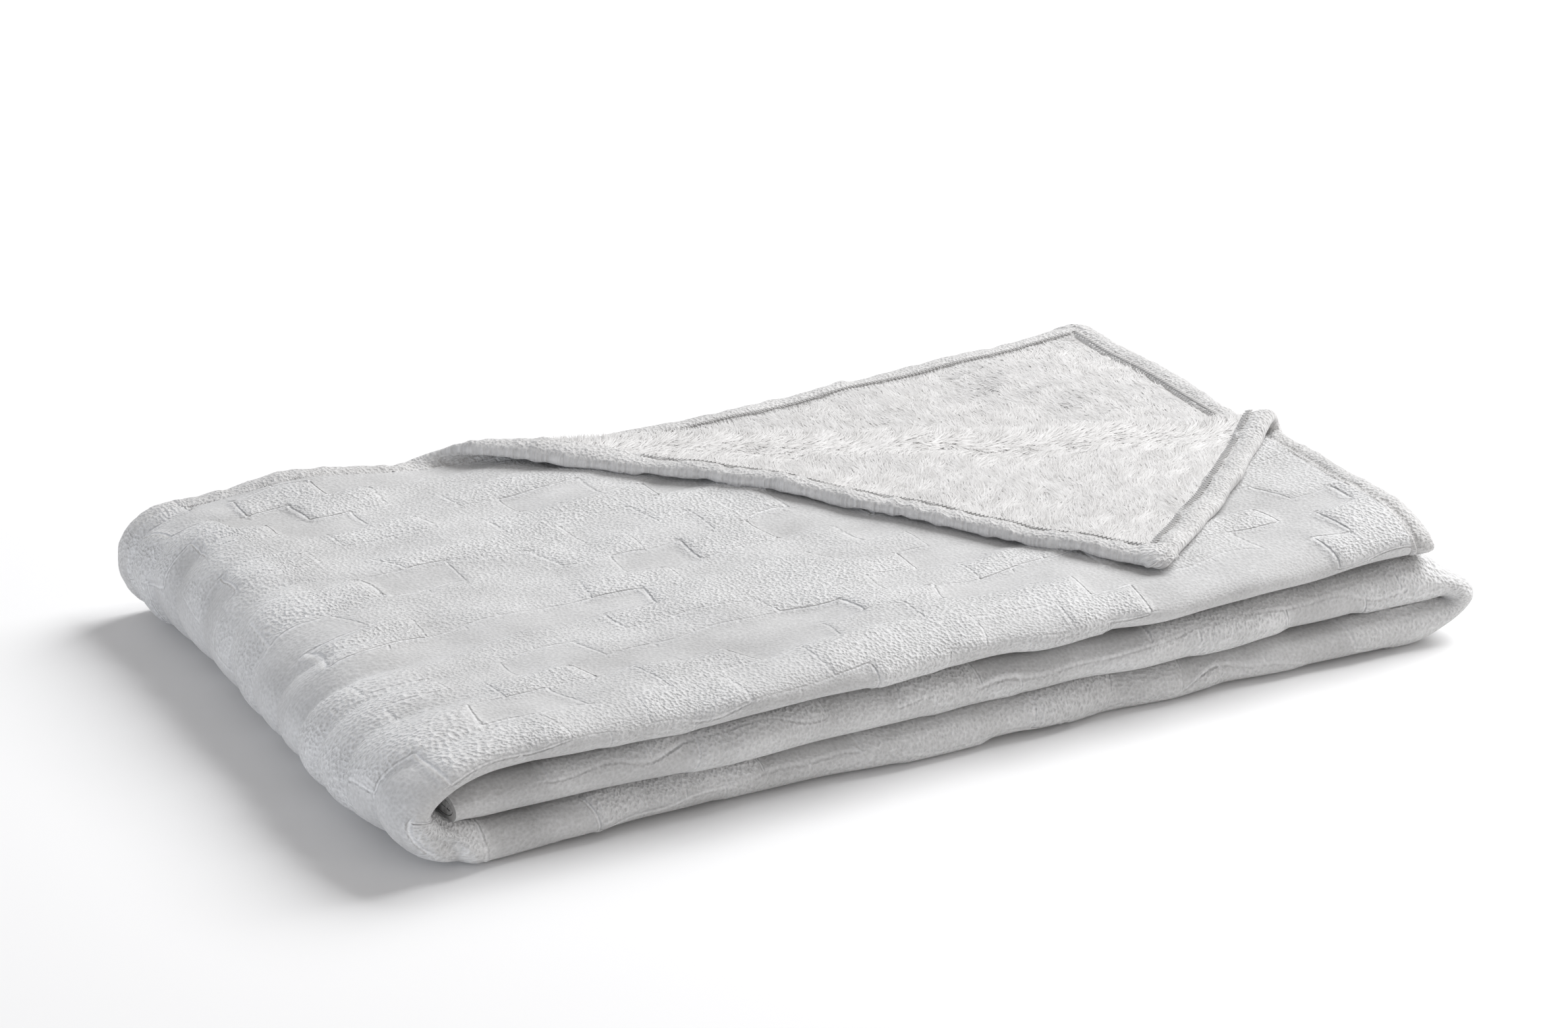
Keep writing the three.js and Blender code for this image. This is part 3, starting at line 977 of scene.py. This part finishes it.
lower_fronts = cloth_sheet(
    "lower_fronts",
    spread(*LOWER_RUN),
    spread((0.86, 1 / 100), (1, 1 / 20), (2, 1 / 40), (2.1, 0)),
    strip_place,
    RELIEF,
    cloth,
)
on_base(lower_fronts)

lower_outer_ply = cloth_sheet(
    "lower_outer_ply",
    spread(*COARSE_RUN),
    spread((BACK_IN, 1 / 30), (0.86, 0)),
    strip_place,
    0.0,
    cloth,
)
on_base(lower_outer_ply)

lower_lining = cloth_sheet(
    "lower_lining",
    spread(*COARSE_RUN),
    spread((2.1, 1 / 25), (3, 1 / 8), (4, 1 / 25), (5, 1 / 10), (6, 1 / 25), (BACK_LAST, 0)),
    strip_place,
    0.0,
    cloth,
)
on_base(lower_lining)


# ---- the hems -------------------------------------------------------------------------------


def first_back_hem(u, inset, h):
    return laid(u, back_line(u) - inset, h)


def second_back_hem(u, inset, h):
    return laid(u, breaks(u)[7] + inset, h)


def corner_back_hem(x, inset, h):
    return turned(x, back_line(x - WRAP_START) - inset, h)


def corner_side_hem(y, inset, h):
    return turned(side_line(y) - inset, y, h)


def top_side_hem(v, inset, h):
    u = SIDE_FRONT - WRAP_START + 0 * v
    for _ in range(3):
        y = section(u, v)[0]
        u = side_line(y) - WRAP_START - inset
    return laid(u, v, h)


SIDE_U = SIDE_FRONT - WRAP_START
side_marks = [float(mark) for mark in breaks(np.array(float(SIDE_U)))]
far_marks = [float(mark) for mark in breaks(np.array(float(TOP_RUN)))]
CREASE_BACK_X = crease_x(CORNER_BACK_Y)
CREASE_BACK_U = CREASE_BACK_X - WRAP_START

hems = {
    "top_back_hem": hem(
        "top_back_hem",
        spread((0, 3), (CREASE_BACK_U + 1, 0)),
        first_back_hem,
        0.8,
        HEM_CLOTH,
        111,
        (1, 1),
    ),
    "second_back_hem": hem(
        "second_back_hem",
        spread((0, 3), (TOP_RUN - 1, 0)),
        second_back_hem,
        0.8,
        HEM_CLOTH,
        121,
        (1, 0),
    ),
    "top_side_hem": hem(
        "top_side_hem",
        spread((side_marks[2] - 30, 3), (CORNER_SIDE_Y + 1, 0)),
        top_side_hem,
        0.85,
        HEM_CLOTH,
        61,
        (0, 1),
    ),
    "second_side_hem": hem(
        "second_side_hem",
        spread((far_marks[7] + 1, 3), (far_marks[6] + 60, 0)),
        top_side_hem,
        0.9,
        HEM_CLOTH,
        71,
    ),
    "inner_side_hem": hem(
        "inner_side_hem",
        spread(
            (far_marks[6] + 62, 6),
            (side_marks[5] + 4, 2),
            (side_marks[4], 6),
            (side_marks[2] - 34, 0),
        ),
        top_side_hem,
        0.6,
        HEM_CLOTH,
        81,
    ),
}
for piece in hems.values():
    on_top(piece)

crease_hems = {
    "corner_back_hem": hem(
        "corner_back_hem", spread((CREASE_BACK_X, 1.6), (-60, 3), (SIDE_BACK - 1, 0)),
        corner_back_hem, 0.95, HEM_CLOTH, 91, (1, 0),
    ),
    "corner_side_hem": hem(
        "corner_side_hem", spread((CORNER_SIDE_Y, 1.2), (10, 3), (CORNER_BACK_Y, 0)),
        corner_side_hem, 0.95, HEM_CLOTH, 101, (1, 0),
    ),
}  # fmt: skip
for piece in crease_hems.values():
    over_the_crease(piece)

wrap_run = spread((-WRAP_RUN, 3), (0, 0))
wrap_hems = {
    "wrap_first_hem": hem(
        "wrap_first_hem", wrap_run, first_back_hem, 0.8, HEM_CLOTH, 111, (1, 1)
    ),
    "wrap_second_hem": hem(
        "wrap_second_hem", wrap_run, second_back_hem, 0.8, HEM_CLOTH, 121, (1, 1)
    ),
}
for piece in wrap_hems.values():
    over_the_wrap(piece)

base_run = spread((MIDDLE_END, 4), (MIDDLE_START, 2.5), (BASE_END, 4), (-WRAP_RUN, 0))
base_hems = {
    "lower_first_hem": hem(
        "lower_first_hem", base_run, first_back_hem, 0.8, HEM_CLOTH, 111, (0, 1)
    ),
    "lower_second_hem": hem(
        "lower_second_hem", base_run, second_back_hem, 0.8, HEM_CLOTH, 121, (0, 1)
    ),
}
for piece in base_hems.values():
    on_base(piece)


# ---- the tucked corner ----------------------------------------------------------------------


def tucked_corner():
    """The lump of cloth where the turned corner's two hems are folded over each other."""
    shape = bmesh.new()
    bmesh.ops.create_icosphere(shape, subdivisions=5, radius=1)
    mesh = bpy.data.meshes.new("corner_tuck")
    shape.to_mesh(mesh)
    shape.free()
    ball = np.empty(len(mesh.vertices) * 3)
    mesh.vertices.foreach_get("co", ball)
    ball = ball.reshape(-1, 3)
    lumps = 1 + 0.07 * swell(14 * ball[:, 0] + 9 * ball[:, 2], 12 * ball[:, 1], 9, 151)
    side = side_line(np.array(180.0))
    x = side - 9.5 + 11.5 * ball[:, 0] * lumps
    y = back_line(side - WRAP_START) - 9 + 11 * ball[:, 1] * lumps
    mesh.vertices.foreach_set("co", (turned(x, y, -1.4 + 5.6 * ball[:, 2] * lumps) * MM).ravel())
    set_cloth_map(mesh, (x + 9 * ball[:, 2]) * MM, y * MM)
    set_number(mesh, "block", np.ones(len(ball)))
    mesh.polygons.foreach_set("use_smooth", np.ones(len(mesh.polygons), bool))
    turn_outwards(mesh)
    return link("corner_tuck", mesh, [HEM_CLOTH])


corner_tuck = tucked_corner()
over_the_crease(corner_tuck)


# ---- the stitching --------------------------------------------------------------------------

STITCH = 2.6
ON_FACE = 2.2 - 0.9
ON_REVERSE = -4.6


def seam(name, start, end, place, height, ride):
    piece = stitches(name, np.arange(start, end, STITCH), place, height, THREAD)
    ride(piece)
    return piece


seams = [
    seam(
        "second_back_stitching",
        CREASE_BACK_U + 60,
        TOP_RUN - 18,
        second_back_hem,
        ON_REVERSE,
        on_top,
    ),
    seam(
        "second_side_stitching",
        far_marks[7] + 16,
        far_marks[6] + 140,
        top_side_hem,
        ON_REVERSE,
        on_top,
    ),
    seam(
        "top_side_stitching",
        side_marks[1] - 30,
        CORNER_SIDE_Y - 6,
        top_side_hem,
        ON_FACE,
        on_top,
    ),
    seam(
        "corner_back_stitching", 0, SIDE_BACK - 18, corner_back_hem, ON_REVERSE, over_the_crease
    ),
    seam(
        "corner_side_stitching",
        CORNER_SIDE_Y + 20,
        172,
        corner_side_hem,
        ON_REVERSE,
        over_the_crease,
    ),
    seam("top_back_stitching", 6, CREASE_BACK_U - 16, first_back_hem, ON_FACE, on_top),
]


# ---- the pile that stands up ----------------------------------------------------------------


def over_the_corner(rng, count):
    """Places on the turned corner and its bend, thicker towards the crease."""
    b = np.sqrt(rng.uniform(0, 1, count))
    y = CORNER_SIDE_Y + 6 + b * (180 - CORNER_SIDE_Y)
    start = crease_x(y)
    x = start + 1 + rng.uniform(0, 1, count) * (side_line(y) - HEM + 3 - start)
    clear = y < back_line(x - WRAP_START) - HEM + 4
    return x[clear], y[clear]


def over_the_second_ply(rng, count):
    """Places on the second ply behind the crease."""
    b = np.sqrt(rng.uniform(0, 1, count))
    y = CORNER_SIDE_Y - 10 + b * (186 - CORNER_SIDE_Y)
    start = crease_x(y) - 14
    x = start + rng.uniform(0, 1, count) * (side_line(y) - HEM - start)
    u = x - WRAP_START
    marks = breaks(u)
    v = marks[1] + marks[6] - y
    clear = y < back_line(u) - HEM + 1
    return u[clear], v[clear]


def below_the_crest(x, y):
    """The pile is pushed round where the turned corner slopes down from its crest."""
    past = (x - CREASE_FROM[0]) * AWAY[0] + (y - CREASE_FROM[1]) * AWAY[1]
    return 2.1 * hump(past, 38, 11)


corner_pile = grow(
    "corner_pile",
    201,
    46000,
    over_the_corner,
    turned,
    -1,
    7.5,
    0.62,
    (-0.5, -0.9),
    WHITE_TUFTS,
    below_the_crest,
)
over_the_crease(corner_pile)
second_pile = grow(
    "second_pile", 202, 42000, over_the_second_ply, laid, -1, 7.0, 0.62, (-0.3, -0.95), WHITE_TUFTS
)
on_top(second_pile)


# ---- the model's parts that the pieces replace, hidden --------------------------------------

LAYERS = ("outer_face", "outer_reverse", "inner_reverse", "inner_face")


def strip_nodes(strip):
    return [f"{strip}_{layer}" for layer in LAYERS] + [f"{strip}_back_fold"]


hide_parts("top_strip_outer_face", "top_strip_outer_reverse")
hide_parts("top_strip_inner_face", "top_strip_inner_reverse", "top_strip_back_fold")
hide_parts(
    "corner_flap_face",
    "corner_flap_reverse",
    "crease_bend_face",
    "crease_bend_reverse",
)
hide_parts("left_wrap_ply_1")
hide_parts("left_wrap_ply_2", "left_wrap_ply_3", "left_wrap_ply_4")
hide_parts("right_fold_ply_1", "right_fold_ply_4")
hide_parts(*strip_nodes("bottom_strip"))
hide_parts(*strip_nodes("middle_strip"), "right_fold_ply_2", "right_fold_ply_3")
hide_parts("top_strip_outer_back_hem")
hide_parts("top_strip_inner_back_hem")
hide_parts("top_strip_outer_side_hem")
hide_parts("top_strip_inner_side_hem")
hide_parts("corner_flap_back_hem")
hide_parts("corner_flap_side_hem")
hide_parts("left_wrap_hem_1")
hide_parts("left_wrap_hem_2")
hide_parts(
    "bottom_strip_outer_back_hem",
    "middle_strip_outer_back_hem",
    "right_fold_hem_1",
    "middle_strip_outer_side_hem",
)
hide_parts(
    "bottom_strip_inner_back_hem",
    "middle_strip_inner_back_hem",
    "right_fold_hem_2",
    "middle_strip_inner_side_hem",
)
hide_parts("top_strip_inner_back_stitching")
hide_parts("top_strip_inner_side_stitching")
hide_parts("top_strip_outer_side_stitching")
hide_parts("corner_flap_back_stitching")
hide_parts("corner_flap_side_stitching")
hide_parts("top_strip_outer_back_stitching")


# ---- the studio -----------------------------------------------------------------------------


def set_camera():
    """A long lens from the front left, looking down on the throw."""
    azimuth, elevation = math.radians(30.7), math.radians(21.3)
    aim = (0.0541, 0.0814, 0.03)
    distance = 3.727
    data = bpy.data.cameras.new("camera")
    data.sensor_width = 36
    data.lens = 147.5
    camera = bpy.data.objects.new("camera", data)
    level = distance * math.cos(elevation)
    camera.location = (
        aim[0] - level * math.sin(azimuth),
        aim[1] - level * math.cos(azimuth),
        aim[2] + distance * math.sin(elevation),
    )
    camera.rotation_euler = (math.pi / 2 - elevation, 0, -azimuth)
    bpy.context.scene.collection.objects.link(camera)
    bpy.context.scene.camera = camera


def softbox(name, azimuth, elevation, distance, size, power, tint=(1, 1, 1)):
    """A square soft light that looks at the throw from a compass angle, 0 being the front."""
    data = bpy.data.lights.new(name, "AREA")
    data.shape = "SQUARE"
    data.size = size
    data.energy = power
    data.color = tint
    light = bpy.data.objects.new(name, data)
    a, e = math.radians(azimuth), math.radians(elevation)
    light.location = (
        -distance * math.cos(e) * math.sin(a),
        -distance * math.cos(e) * math.cos(a),
        distance * math.sin(e),
    )
    light.rotation_euler = (math.pi / 2 - e, 0, -a)
    bpy.context.scene.collection.objects.link(light)


def set_studio():
    shape = bmesh.new()
    bmesh.ops.create_grid(shape, x_segments=1, y_segments=1, size=12)
    mesh = bpy.data.meshes.new("floor")
    shape.to_mesh(mesh)
    shape.free()
    material, _, shader = new_finish("floor_paper")
    shader.inputs["Base Color"].default_value = colour(0.92)
    shader.inputs["Roughness"].default_value = 0.9
    link("floor", mesh, [material])
    world = bpy.data.worlds.new("studio")
    world.use_nodes = True
    world.node_tree.nodes["Background"].inputs["Color"].default_value = (1, 0.98, 0.97, 1)
    world.node_tree.nodes["Background"].inputs["Strength"].default_value = 0.36
    bpy.context.scene.world = world
    softbox("key_from_right", 256, 44, 3.2, 2.3, 138, (0.985, 0.99, 1.0))
    softbox("fill_from_front", -25, 10, 3.0, 1.4, 15, (1.0, 0.97, 0.96))
    softbox("fill_from_left", 85, 4, 3.0, 1.2, 40, (0.86, 0.91, 1.0))
    bpy.context.scene.view_settings.view_transform = "Standard"


set_camera()
set_studio()
